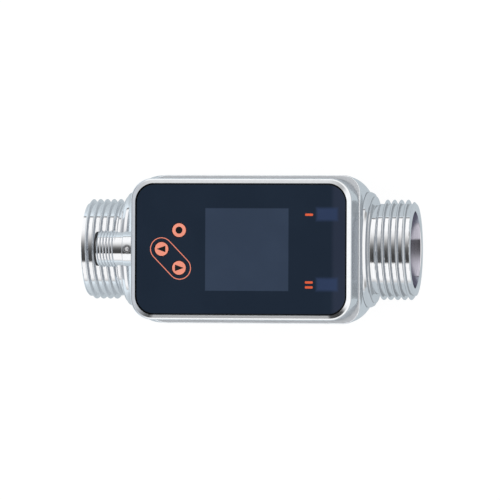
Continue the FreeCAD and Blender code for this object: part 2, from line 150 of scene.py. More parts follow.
class Graph:
    """Writes nodes and links into one node tree."""

    def __init__(self, tree: Tree) -> None:
        """Starts with the tree emptied."""
        self.tree = tree
        tree.nodes.clear()

    def feed(self, node: Node, inputs: Mapping[Any, Any]) -> None:
        """Sets inputs of a node.

        Args:
            node: The node.
            inputs: Socket name or number to a value or to the socket that feeds it.
        """
        for title, value in inputs.items():
            if isinstance(value, Socket):
                self.tree.links.new(value, node.inputs[title])
            else:
                node.inputs[title].default_value = value

    def add(self, kind: str, inputs: Mapping[Any, Any] | None = None, **settings: Any) -> Node:
        """Adds one node.

        Args:
            kind: Node type.
            inputs: As for feed.
            settings: Properties of the node.

        Returns:
            The new node.
        """
        node = self.tree.nodes.new(kind)
        for title, value in settings.items():
            setattr(node, title, value)
        self.feed(node, inputs or {})
        return node

    def math(self, operation: str, *values: float | Socket) -> Socket:
        """Adds a Math node and returns its result."""
        return self.add("ShaderNodeMath", dict(enumerate(values)), operation=operation).outputs[0]

    def vector(self, operation: str, *values: Socket) -> Socket:
        """Adds a Vector Math node and returns its result."""
        return self.add("ShaderNodeVectorMath", dict(enumerate(values)), operation=operation).outputs[0]

    def scale(self, colour: Any, factor: Socket) -> Socket:
        """Returns a colour or vector times a factor."""
        inputs = {"Vector": colour, "Scale": factor}
        return self.add("ShaderNodeVectorMath", inputs, operation="SCALE").outputs["Vector"]

    def parts(self, vector: Socket) -> Mapping[str, Socket]:
        """Returns the X, Y and Z of a vector."""
        return self.add("ShaderNodeSeparateXYZ", {0: vector}).outputs

    def noise(self, vector: Socket, scale: float | Socket, detail: float) -> Socket:
        """Adds a noise texture and returns its value."""
        inputs = {"Vector": vector, "Scale": scale, "Detail": detail}
        return self.add("ShaderNodeTexNoise", inputs).outputs["Fac"]

    def mix(self, mask: Socket, under: Any, over: Any) -> Socket:
        """Returns the colour under where the mask is 0 and the colour over where it is 1."""
        low, high = (side if isinstance(side, Socket) else (*side, 1.0) for side in (under, over))
        return self.add("ShaderNodeMix", {"Factor": mask, 6: low, 7: high}, data_type="RGBA").outputs[2]

    def ramp(
        self, value: Socket, start: Any = 0.0, end: Any = 1.0, low: Any = 0.0, high: Any = 1.0
    ) -> Socket:
        """Returns a value eased from low at the start to high at the end, each a number or a socket."""
        inputs = {"Value": value, "From Min": start, "From Max": end, "To Min": low, "To Max": high}
        return self.add("ShaderNodeMapRange", inputs, interpolation_type="SMOOTHSTEP").outputs[0]

    def group(self, tree: Tree, inputs: Mapping[str, Any]) -> Mapping[str, Socket]:
        """Places a shader group with its own values and returns its outputs."""
        return self.add("ShaderNodeGroup", inputs, node_tree=tree).outputs


class Surface(Graph):
    """Graph of a piece's material, with its Principled shader and its object coordinates."""

    def __init__(self, material: bpy.types.Material) -> None:
        """Starts with the plain shader.

        Args:
            material: The material.
        """
        material.use_nodes = True
        super().__init__(material.node_tree)
        self.shader = self.add("ShaderNodeBsdfPrincipled")
        self.add("ShaderNodeOutputMaterial", {"Surface": self.shader.outputs["BSDF"]})
        self.place = self.add("ShaderNodeTexCoord").outputs["Object"]

    def coat(self, colour: Any, tone: Socket, roughness: Socket) -> None:
        """Links a colour times a tone, and a roughness, to the shader."""
        self.feed(self.shader, {"Base Color": self.scale(colour, tone), "Roughness": roughness})

    def bump(self, height: Socket, strength: float, depth: float) -> None:
        """Links a bump of the given depth in millimetres to the shader."""
        made = self.add("ShaderNodeBump", {"Strength": strength, "Distance": depth * MM, "Height": height})
        self.feed(self.shader, {"Normal": made.outputs["Normal"]})


def new_group(
    name: str, kind: str, inputs: Mapping[str, str], outputs: Mapping[str, str]
) -> tuple[Graph, Mapping[str, Socket], Node]:
    """Starts a node group.

    Args:
        name: Name of the group.
        kind: Type of the node tree.
        inputs: Names and types of its inputs.
        outputs: Names and types of its outputs.

    Returns:
        The graph to write in, the input sockets and the output node.
    """
    tree = bpy.data.node_groups.new(name, kind)
    for way, sockets in (("INPUT", inputs), ("OUTPUT", outputs)):
        for title, socket in sockets.items():
            tree.interface.new_socket(title, in_out=way, socket_type="NodeSocket" + socket)
    graph = Graph(tree)
    return graph, graph.add("NodeGroupInput").outputs, graph.add("NodeGroupOutput")


NOISE_RANGE: Pair = (0.3, 0.7)
CLOUD_RANGE: Pair = (0.35, 0.65)
PIT_RANGE: Pair = (0.0, 0.7)
TONE_SCALE = 0.04


@functools.cache
def tool_marks() -> Tree:
    """Group for metal: fine lines left by the tool and a faint haze left by the polish.

    Returns:
        A group with the inputs Vector, Lay (lines per metre along each axis) and Haze (spots per
        metre), and the outputs Lines and Cloud from 0 to 1.
    """
    graph, given, result = new_group(
        "tool_marks", "ShaderNodeTree",
        {"Vector": "Vector", "Lay": "Vector", "Haze": "Float"}, {"Lines": "Float", "Cloud": "Float"})
    lines = graph.noise(graph.vector("MULTIPLY", given["Vector"], given["Lay"]), 1.0, detail=2.0)
    cloud = graph.noise(given["Vector"], given["Haze"], detail=4.0)
    graph.feed(result, {"Lines": graph.ramp(lines, *NOISE_RANGE), "Cloud": graph.ramp(cloud, *CLOUD_RANGE)})
    return graph.tree


@functools.cache
def moulded_grain() -> Tree:
    """Group for plastic, rubber and ink: the eroded grain of a mould and slow changes of tone.

    Returns:
        A group with the inputs Vector and Grain (spots per metre), and the outputs Height and Tone
        from 0 to 1.
    """
    graph, given, result = new_group(
        "moulded_grain", "ShaderNodeTree",
        {"Vector": "Vector", "Grain": "Float"}, {"Height": "Float", "Tone": "Float"})
    pits = graph.add("ShaderNodeTexVoronoi", {"Vector": given["Vector"], "Scale": given["Grain"]})
    height = graph.ramp(pits.outputs["Distance"], *PIT_RANGE)
    slow = graph.math("MULTIPLY", given["Grain"], TONE_SCALE)
    tone = graph.noise(given["Vector"], slow, detail=3.0)
    graph.feed(result, {"Height": height, "Tone": graph.ramp(tone, *NOISE_RANGE)})
    return graph.tree


@functools.cache
def pane_field() -> Tree:
    """Group for the window: the mask of one upright rectangle in the print behind the pane.

    Returns:
        A group with the inputs Vector, Centre, Half (half sizes) and Edge (half width of its soft
        edge), and the output Mask.
    """
    graph, given, result = new_group(
        "pane_field", "ShaderNodeTree",
        {"Vector": "Vector", "Centre": "Vector", "Half": "Vector", "Edge": "Float"}, {"Mask": "Float"})
    away = graph.vector("ABSOLUTE", graph.vector("SUBTRACT", given["Vector"], given["Centre"]))
    beyond = graph.parts(graph.vector("SUBTRACT", away, given["Half"]))
    outside = graph.math("MAXIMUM", beyond["X"], beyond["Y"])
    inner = graph.math("MULTIPLY", given["Edge"], -1.0)
    graph.feed(result, {"Mask": graph.ramp(outside, inner, given["Edge"], 1.0, 0.0)})
    return graph.tree


# Finishes


@dataclass(frozen=True)
class Finish:
    """A surface finish, made into a material once."""

    name: str
    colour: Colour

    def material(self) -> bpy.types.Material:
        """Material of the finish.

        Returns:
            The material, new on the first call.
        """
        made = bpy.data.materials.get("finish_" + self.name)
        if made is None:
            made = bpy.data.materials.new("finish_" + self.name)
            self.wire(Surface(made))
        return made

    def wire(self, surface: Surface) -> None:
        """Links the finish's nodes to the shader of a surface."""
        raise NotImplementedError


@dataclass(frozen=True)
class Metal(Finish):
    """Bare metal with tool lines laid across one axis, a faint haze and, if asked, ground flats."""

    smooth: float = 0.07
    rough: float = 0.13
    lay: Colour = (900.0, 900.0, 900.0)
    haze: float = 70.0
    shade: float = 0.95
    relief: float = 0.0
    flats: float = 0.0
    flat_facing: ClassVar[Pair] = (0.9, 0.99)
    line_share: ClassVar[float] = 0.6
    bump_strength: ClassVar[float] = 0.5

    def wire(self, surface: Surface) -> None:
        """Links the marks to the colour and roughness, and roughens the flats that face Z.

        Args:
            surface: Graph of the material.
        """
        marks = surface.group(tool_marks(), {"Vector": surface.place, "Lay": self.lay, "Haze": self.haze})
        cloud = surface.math("MULTIPLY", marks["Cloud"], 1.0 - self.line_share)
        mixed = surface.math("MULTIPLY_ADD", marks["Lines"], self.line_share, cloud)
        roughness = surface.ramp(mixed, low=self.rough, high=self.smooth)
        if self.flats:
            upright = surface.parts(surface.add("ShaderNodeTexCoord").outputs["Normal"])["Z"]
            ground = surface.ramp(upright, *self.flat_facing, 0.0, self.flats)
            roughness = surface.math("MAXIMUM", roughness, ground)
        surface.coat(self.colour, surface.ramp(mixed, low=self.shade), roughness)
        surface.feed(surface.shader, {"Metallic": 1.0})
        if self.relief:
            surface.bump(marks["Lines"], self.bump_strength, self.relief)


@dataclass(frozen=True)
class Moulded(Finish):
    """Moulded plastic or rubber with the grain of its mould."""

    smooth: float = 0.35
    rough: float = 0.45
    grain: float = 6000.0
    relief: float = 0.004
    shade: float = 0.94
    bump_strength: ClassVar[float] = 0.4

    def wire(self, surface: Surface) -> None:
        """Links the grain to the colour, roughness and bump.

        Args:
            surface: Graph of the material.
        """
        grain = surface.group(moulded_grain(), {"Vector": surface.place, "Grain": self.grain})
        roughness = surface.ramp(grain["Tone"], low=self.smooth, high=self.rough)
        surface.coat(self.colour, surface.ramp(grain["Tone"], low=self.shade), roughness)
        if self.relief:
            surface.bump(grain["Height"], self.bump_strength, self.relief)


@dataclass(frozen=True)
class Enamel(Moulded):
    """Printed ink: even, slightly glossy, with a faint mottle."""

    smooth: float = 0.3
    rough: float = 0.4
    grain: float = 9000.0
    relief: float = 0.0
    shade: float = 0.95


@dataclass(frozen=True)
class PrintField:
    """Upright rectangle in the print behind the pane, over one frame node."""

    node: str
    colour: Colour
    half: Pair
    shift: Pair
    edge: float

    def mask(self, surface: Surface) -> Socket:
        """Returns a mask of 1 on the field and 0 beside it, for the pane's material."""
        centre = sum(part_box(self.node), Vector()) / 2 + Vector((*self.shift, 0.0)) * MM
        return surface.group(pane_field(), {
            "Vector": surface.place, "Centre": centre, "Half": Vector((*self.half, 0.0)) * MM,
            "Edge": self.edge * MM})["Mask"]


@dataclass(frozen=True)
class DarkPane(Finish):
    """Dark window, printed from behind, that shows the display and two state windows, with a painted
    reflection as a paler strip near its outlet end.
    """

    fields: tuple[PrintField, ...]
    # Colour and X span in millimetres of the painted reflection: a paler strip across the pane near its
    # outlet end.
    painted_reflection_colour: Colour = (0.0225, 0.032, 0.058)
    painted_reflection_strip: Pair = (32.7, 34.6)
    lay: Colour = (400.0, 400.0, 400.0)
    haze: float = 45.0
    tones: Pair = (0.96, 1.04)
    roughness: Pair = (0.05, 0.09)
    refraction: float = 1.5

    def wire(self, surface: Surface) -> None:
        """Links a painted reflection near the outlet end and the fields behind the pane to its colour, and
        a faint haze to its roughness.

        Args:
            surface: Graph of the material.
        """
        marks = surface.group(tool_marks(), {"Vector": surface.place, "Lay": self.lay, "Haze": self.haze})
        # Painted reflection: the pane eases to a paler colour across a strip near its outlet end.
        end = surface.ramp(surface.parts(surface.place)["X"], *(place * MM for place in self.painted_reflection_strip))
        colour = surface.mix(end, self.colour, self.painted_reflection_colour)
        for field in self.fields:
            colour = surface.mix(field.mask(surface), colour, field.colour)
        tone, roughness = (
            surface.ramp(marks["Cloud"], 0.0, 1.0, *limits) for limits in (self.tones, self.roughness))
        surface.coat(colour, tone, roughness)
        surface.feed(surface.shader, {"IOR": self.refraction})


DISPLAY_FIELD = PrintField("display_module", (0.0325, 0.0505, 0.088), (13.75, 13.44), (-0.05, 0.2), 0.12)
LAMP_FIELDS = tuple(
    PrintField(node, (0.027, 0.046, 0.104), (3.45, 2.05), (-0.4, 0.05), 0.7)
    for node in ("upper_light_guide", "lower_light_guide"))
POLISHED_STEEL = Metal("polished_steel", (0.895, 0.91, 0.93))
HOUSING_STEEL = Metal("housing_steel", (0.92, 0.935, 0.955), 0.12, 0.18, flats=0.68)
TURNED_STEEL = Metal("turned_steel", (0.90, 0.905, 0.92), lay=(5200.0, 25.0, 25.0), shade=0.93)
# Painted shade: the bore's steel is darker and lilac so that the inside of the pipe reads as shaded; its
# tool lines are real.
BORED_STEEL_PAINTED_SHADE = Metal("bored_steel", (0.52, 0.50, 0.57), 0.1, 0.16, lay=(3000.0, 40.0, 40.0), shade=0.9)
PLAIN_STEEL = Metal("plain_steel", (0.60, 0.60, 0.61), 0.2, 0.3, (2500.0, 2500.0, 2500.0))
# Black rubber for the seals, also used as painted shade on the ring at the connector's free end.
SEAL_RUBBER_AND_PAINTED_SHADE = Moulded("seal_rubber", (0.018, 0.018, 0.02), 0.55, 0.7, 9000.0)
KEY_ORANGE = Moulded("key_orange", (0.97, 0.325, 0.22))
PRINT_ORANGE = Enamel("print_orange", (0.82, 0.11, 0.033))
OUTLINE_ORANGE = Enamel("outline_orange", (0.92, 0.265, 0.17))
MARK_DARK = Enamel("mark_dark", (0.003, 0.004, 0.006))
PANE_EDGE = Enamel("pane_edge", (0.001, 0.002, 0.004))
PANE = DarkPane("window_pane", (0.0108, 0.0205, 0.0385), (DISPLAY_FIELD, *LAMP_FIELDS))
SLOT_FINISHES: dict[str, Finish] = {finish.name: finish for finish in (
    POLISHED_STEEL, PLAIN_STEEL, SEAL_RUBBER_AND_PAINTED_SHADE, KEY_ORANGE, PANE,
    Moulded("tube_plastic", (0.62, 0.52, 0.38), 0.3, 0.4, 4000.0),
    Metal("soft_iron", (0.34, 0.34, 0.35), 0.4, 0.55, (700.0, 700.0, 700.0), relief=0.01),
    Metal("copper_wire", (0.72, 0.36, 0.18), 0.28, 0.4, (80.0, 80.0, 4200.0), relief=0.05),
    Moulded("bobbin_plastic", (0.75, 0.74, 0.70)),
    Moulded("board_green", (0.03, 0.18, 0.08), 0.3, 0.4, 3000.0),
    Moulded("display_panel", (0.05, 0.06, 0.09), 0.1, 0.15, 3000.0, 0.001),
    Moulded("component_black", (0.028, 0.028, 0.03), 0.4, 0.55),
    Moulded("lamp", (0.85, 0.75, 0.40), 0.2, 0.3),
    Moulded("guide_clear", (0.06, 0.09, 0.16), 0.1, 0.15, 3000.0, 0.001),
    Metal("contact_gold", (0.85, 0.66, 0.30), 0.12, 0.2),
)}
NODE_FINISHES: dict[str, Finish] = {"lower_housing": HOUSING_STEEL}


# Meshes


Rings = Iterable[Iterable[Vector]]


class Skin:
    """Rings of points in millimetres, joined into one closed mesh."""

    def __init__(self, rings: Rings = (), closed: bool = False, capped: bool = False) -> None:
        """Starts the mesh with a first stack of rings."""
        self.mesh = bmesh.new()
        self.stack(rings, closed, capped)

    def stack(self, rings: Rings, closed: bool = False, capped: bool = False) -> None:
        """Joins rings of equal count, each to the next.

        Args:
            rings: Rings of points in order.
            closed: Whether the last ring is joined to the first.
            capped: Whether the first and last rings are filled.
        """
        made = [[self.mesh.verts.new(point * MM) for point in ring] for ring in rings]
        pairs = list(zip(made, made[1:])) + ([(made[-1], made[0])] if closed else [])
        for low, high in pairs:
            for place, corner in enumerate(low):
                after = (place + 1) % len(low)
                self.mesh.faces.new((corner, low[after], high[after], high[place]))
        if capped:
            self.mesh.faces.new(made[0])
            self.mesh.faces.new(made[-1])

    def film(self, rings: Sequence[Sequence[Vector]], thickness: float) -> None:
        """Adds a thin layer on a level outline, or between an outer and an inner outline."""
        tops = [[point + Vector((0, 0, thickness)) for point in ring] for ring in rings]
        self.stack([rings[0], *tops, *rings[1:]], closed=len(rings) > 1, capped=len(rings) == 1)

    def take(self, mesh: bpy.types.Mesh, shift: Vector = Vector()) -> None:
        """Adds a finished mesh and removes it from the file.

        Args:
            mesh: Mesh in metres.
            shift: Move in millimetres.
        """
        mesh.transform(Matrix.Translation(shift * MM))
        self.mesh.from_mesh(mesh)
        bpy.data.meshes.remove(mesh)

    def piece(self, name: str) -> Object:
        """Closes seams, turns faces outwards and makes the piece.

        Args:
            name: Name of the piece.

        Returns:
            The piece, linked to the scene.
        """
        bmesh.ops.remove_doubles(self.mesh, verts=self.mesh.verts, dist=MERGE_DISTANCE)
        bmesh.ops.recalc_face_normals(self.mesh, faces=self.mesh.faces)
        mesh = bpy.data.meshes.new(name)
        self.mesh.to_mesh(mesh)
        self.mesh.free()
        made = bpy.data.objects.new(name, mesh)
        bpy.context.scene.collection.objects.link(made)
        return made


def settle(piece: Object) -> None:
    """Turns a piece's modifiers into its plain mesh.

    Args:
        piece: The piece.
    """
    graph = bpy.context.evaluated_depsgraph_get()
    mesh = bpy.data.meshes.new_from_object(
        piece.evaluated_get(graph), preserve_all_data_layers=True, depsgraph=graph)
    piece.modifiers.clear()
    before, piece.data = piece.data, mesh
    mesh.name = before.name
    bpy.data.meshes.remove(before)


def shade(piece: Object) -> None:
    """Shades a piece smooth up to the sharp angle, with its flats kept flat.

    Args:
        piece: The piece.
    """
    piece.data.polygons.foreach_set("use_smooth", [True] * len(piece.data.polygons))
    piece.data.set_sharp_from_angle(angle=SHARP_ANGLE)
    modifier = piece.modifiers.new("flats", "WEIGHTED_NORMAL")
    modifier.keep_sharp = True
    settle(piece)


def combine(piece: Object, rings: Rings, operation: str) -> None:
    """Joins a solid to a piece or cuts it away.

    Args:
        piece: Piece that is changed.
        rings: Rings of the solid in order.
        operation: Boolean operation, UNION or DIFFERENCE.
    """
    solid = Skin(rings, capped=True).piece(piece.name + "_tool")
    modifier = piece.modifiers.new("combine", "BOOLEAN")
    modifier.object, modifier.operation, modifier.solver = solid, operation, "EXACT"
    settle(piece)
    mesh = solid.data
    bpy.data.objects.remove(solid)
    bpy.data.meshes.remove(mesh)


def dress(
    piece: Object, finishes: Sequence[Finish], body: str = "root", nodes: Sequence[str] = (),
    second: Callable[[bpy.types.MeshPolygon], bool] | None = None,
) -> None:
    """Gives a finished piece its materials and its place in the frame.

    Args:
        piece: The piece.
        finishes: One finish for each of its material slots.
        body: Body that it rides on.
        nodes: Frame nodes that it stands for.
        second: Tells whether a face takes the second finish.
    """
    piece.data.materials.clear()
    for finish in finishes:
        piece.data.materials.append(finish.material())
    for face in piece.data.polygons if second else ():
        face.material_index = int(second(face))
    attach(piece, body)
    if nodes:
        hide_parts(*nodes)
    log.info("piece %s on %s, %d faces", piece.name, body, len(piece.data.polygons))


def span(node: str) -> tuple[Vector, Vector]:
    """Returns the lowest and highest corner of a frame node in millimetres."""
    low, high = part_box(node)
    return low / MM, high / MM


def middle(node: str) -> Vector:
    """Returns the middle of a frame node in X and Y, at height 0."""
    low, high = span(node)
    return Vector(((low.x + high.x) / 2, (low.y + high.y) / 2, 0))


def eased(outline: Outline, radius: float, closed: bool = False, steps: int = 4) -> Outline:
    """Rounds the corners of an outline.

    Args:
        outline: Corner points.
        radius: Length taken off each side of a corner, less where a side is short.
        closed: Whether the last point is joined to the first.
        steps: Straight pieces in each rounded corner.

    Returns:
        The outline with a curve at each corner.
    """
    points = [Vector(point) for point in outline]
    made: list[Vector] = []
    for place, corner in enumerate(points):
        if not closed and place in (0, len(points) - 1):
            made.append(corner)
            continue
        before = points[place - 1] - corner
        after = points[(place + 1) % len(points)] - corner
        reach = min(radius, CORNER_SHARE * before.length, CORNER_SHARE * after.length)
        start, end = corner + before.normalized() * reach, corner + after.normalized() * reach
        for step in range(steps + 1):
            share = step / steps
            made.append(start.lerp(corner, share).lerp(corner.lerp(end, share), share))
    return [(point.x, point.y) for point in made]


def turned(outline: Outline, axis: Turning, segments: int, centre: Vector = Vector()) -> list[list[Vector]]:
    """Returns the rings of a turned piece, one for each place along its axis with its radius."""
    angles = [2 * math.pi * place / segments for place in range(segments)]
    return [[centre + axis.point(along, radius, angle) for angle in angles] for along, radius in outline]


def capsule(start: Vector, end: Vector, radius: float, steps: int = 40) -> list[Vector]:
    """Returns a level outline with round ends about the line between two points."""
    first = math.atan2(end.y - start.y, end.x - start.x) - math.pi / 2
    return [centre + Turning.UPRIGHT.point(0.0, radius, turn + math.pi * step / steps)
            for centre, turn in ((end, first), (start, first + math.pi)) for step in range(steps + 1)]


@dataclass(frozen=True)
class Loop:
    """Level rounded rectangle."""

    length: float
    width: float
    corner: float
    height: float
    corner_loss: float = 1.0

    def inset(self, amount: float, height: float) -> "Loop":
        """Returns the loop drawn in by an amount, at a height."""
        corner = max(self.corner - self.corner_loss * amount, LEAST_CORNER)
        return Loop(self.length - 2 * amount, self.width - 2 * amount, corner, height, self.corner_loss)

    def points(self, centre: Vector, steps: int = 16) -> list[Vector]:
        """Returns the points of the loop about a centre, as many for every loop."""
        x, y = self.length / 2 - self.corner, self.width / 2 - self.corner
        return [Vector((centre.x + across * x, centre.y + up * y, 0))
                + Turning.UPRIGHT.point(self.height, self.corner, math.pi / 2 * (quarter + step / steps))
                for quarter, (across, up) in enumerate(CORNERS) for step in range(steps + 1)]


# Pipe ends and their threads


FLANK_SLOPE = 6.0
TURNS_AHEAD = 100.5


@functools.cache
def thread_tree() -> Tree:
    """Geometry tree of an outside thread: a skin about X that follows a right-hand helix.

    Returns:
        A tree whose inputs are the thread's sizes in metres, its side, its counts and its material.
    """
    sizes = ("Start", "Length", "Side", "Root", "Depth", "Pitch", "Crest", "Crest round", "Run in")
    graph, given, result = new_group(
        "outside_thread", "GeometryNodeTree",
        dict.fromkeys(sizes, "Float") | {"Rows": "Int", "Segments": "Int", "Material": "Material"},
        {"Geometry": "Geometry"})
    calc = graph.math
    sheet = graph.add(
        "GeometryNodeMeshGrid",
        {"Size X": 1.0, "Size Y": 1.0, "Vertices X": given["Rows"], "Vertices Y": given["Segments"]})
    spot = graph.parts(graph.add("GeometryNodeInputPosition").outputs[0])
    share, turn = (calc("ADD", spot[axis], 0.5) for axis in "XY")
    along = calc("MULTIPLY", share, given["Length"])
    left = calc("SUBTRACT", given["Length"], along)
    x = calc("MULTIPLY_ADD", along, given["Side"], given["Start"])
    leads = calc("DIVIDE", calc("SUBTRACT", x, given["Crest"]), given["Pitch"])
    phase = calc("FRACT", calc("SUBTRACT", calc("ADD", leads, TURNS_AHEAD), turn))
    away = calc("MULTIPLY", calc("ABSOLUTE", calc("SUBTRACT", phase, 0.5)), given["Pitch"])
    round_fall = calc("DIVIDE", calc("MULTIPLY", away, away), given["Crest round"])
    flank_fall = calc("MULTIPLY", calc("SUBTRACT", away, given["Crest round"]), FLANK_SLOPE)
    crown = calc("MULTIPLY", given["Depth"], graph.ramp(along, 0.0, given["Run in"]))
    height = calc("MAXIMUM", calc("SUBTRACT", crown, calc("MAXIMUM", round_fall, flank_fall)), 0.0)
    radius = calc("ADD", given["Root"], calc("MINIMUM", height, left))
    angle = calc("MULTIPLY", turn, 2 * math.pi)
    place = graph.add("ShaderNodeCombineXYZ", {
        "X": x,
        "Y": calc("MULTIPLY", radius, calc("COSINE", angle)),
        "Z": calc("MULTIPLY", radius, calc("SINE", angle)),
    }).outputs[0]
    skin = graph.add("GeometryNodeSetPosition", {"Geometry": sheet.outputs["Mesh"], "Position": place})
    closed = graph.add(
        "GeometryNodeMergeByDistance", {"Geometry": skin.outputs[0], "Distance": MERGE_DISTANCE})
    real = graph.add("GeometryNodeRealizeInstances", {"Geometry": closed.outputs[0]})
    coated = graph.add(
        "GeometryNodeSetMaterial", {"Geometry": real.outputs[0], "Material": given["Material"]})
    graph.feed(result, {"Geometry": coated.outputs[0]})
    return graph.tree


@dataclass
class Thread:
    """Outside thread about X, from its run-out to its chamfered end."""

    start: float
    length: float
    side: Side
    root: float
    depth: float
    pitch: float
    crest: float
    rows_per_pitch: int = 40
    segments: int = 180
    crest_round: float = 0.13
    run_in: float = 0.4

    def mesh(self, finish: Finish) -> bpy.types.Mesh:
        """Runs the geometry tree.

        Args:
            finish: Finish of the thread.

        Returns:
            The thread's skin, open at both ends, in metres.
        """
        sizes = {
            "Start": self.start, "Length": self.length, "Root": self.root, "Depth": self.depth,
            "Pitch": self.pitch, "Crest": self.crest, "Crest round": self.crest_round * self.pitch,
            "Run in": self.run_in * self.pitch,
        }
        values = {title: size * MM for title, size in sizes.items()} | {
            "Side": float(self.side.value), "Segments": self.segments + 1, "Material": finish.material(),
            "Rows": round(self.rows_per_pitch * self.length / self.pitch) + 1,
        }
        carrier = bpy.data.objects.new("thread", bpy.data.meshes.new("thread"))
        bpy.context.scene.collection.objects.link(carrier)
        modifier = carrier.modifiers.new("thread", "NODES")
        modifier.node_group = thread_tree()
        for socket in modifier.node_group.interface.items_tree:
            if socket.in_out == "INPUT":
                modifier[socket.identifier] = values[socket.name]
        settle(carrier)
        mesh = carrier.data
        bpy.data.objects.remove(carrier)
        return mesh


@dataclass
class PipeEnd:
    """Turned adapter at one end of the pipe."""

    side: Side
    node: str
    first_crest: float
    bore: float = 12.0
    mouth: float = 0.3
    taper: float = 0.65
    taper_length: float = 4.5
    thread_length: float = 11.8
    thread_root: float = 15.2
    thread_depth: float = 1.42
    thread_pitch: float = 2.309
    collar_width: float = 1.0
    collar_slope: float = 1.2
    collar_fall: float = 1.3
    crown_share: Pair = (0.75, 0.35)
    groove_width: float = 0.2
    groove_depth: float = 0.3
    lip_drop: float = 0.15
    neck_length: float = 1.55
    neck_undercut: float = 0.6
    neck_fall: float = 0.12
    barrel_half: float = 39.0
    spigot: float = 17.0
    socket: float = 14.1
    tube_half: float = 36.0
    edge: float = 0.16

    def outline(self, end: float, inner: float, collar: float) -> Outline:
        """Outline of the adapter from the end of its thread, by way of the bore, to the thread's start.

        Args:
            end: Outer end of the adapter, without its sign.
            inner: Its inner end.
            collar: Radius of its collar.

        Returns:
            Places without their sign, with their radii.
        """
        mouth = self.bore + self.taper
        rim = self.barrel_half + self.collar_width
        ring = rim + self.collar_slope
        lip = ring + self.groove_width
        fallen = collar - self.collar_fall
        groove = fallen - self.groove_depth
        wall = fallen - self.lip_drop
        start = end - self.thread_length
        shoulder = start - self.neck_length
        neck = self.thread_root - self.neck_undercut
        along, down = self.crown_share
        return [
            (end, self.thread_root), (end, mouth + self.mouth), (end - self.mouth, mouth),
            (end - self.taper_length, self.bore), (self.tube_half, self.bore),
            (self.tube_half, self.socket), (inner, self.socket), (inner, self.spigot),
            (self.barrel_half, self.spigot), (self.barrel_half, collar), (rim, collar),
            (rim + along * self.collar_slope, collar - down * self.collar_fall),
            (ring, fallen), (ring, groove), (lip, groove), (lip, wall),
            (shoulder, wall), (shoulder, neck + self.neck_fall), (start, neck), (start, self.thread_root),
        ]

    def build(self) -> None:
        """Builds the adapter with its helical thread and puts it in the frame."""
        low, high = span(self.node)
        end, inner = max(-low.x, high.x), min(abs(low.x), abs(high.x))
        sign = self.side.value
        thread = Thread(
            sign * (end - self.thread_length), self.thread_length, self.side,
            self.thread_root, self.thread_depth, self.thread_pitch, self.first_crest)
        outline = [(sign * x, radius) for x, radius in eased(self.outline(end, inner, high.y), self.edge)]
        skin = Skin(turned(outline, Turning.ALONG_PIPE, thread.segments))
        skin.take(thread.mesh(TURNED_STEEL))
        piece = skin.piece("threaded_" + self.node)
        shade(piece)
        bored = (self.bore + self.taper) * MM
        # Faces inside the bore take the darker steel, as painted shade inside the pipe.
        dress(piece, [TURNED_STEEL, BORED_STEEL_PAINTED_SHADE], nodes=[self.node],
              second=lambda face: face.center.yz.length < bored)


# Display head


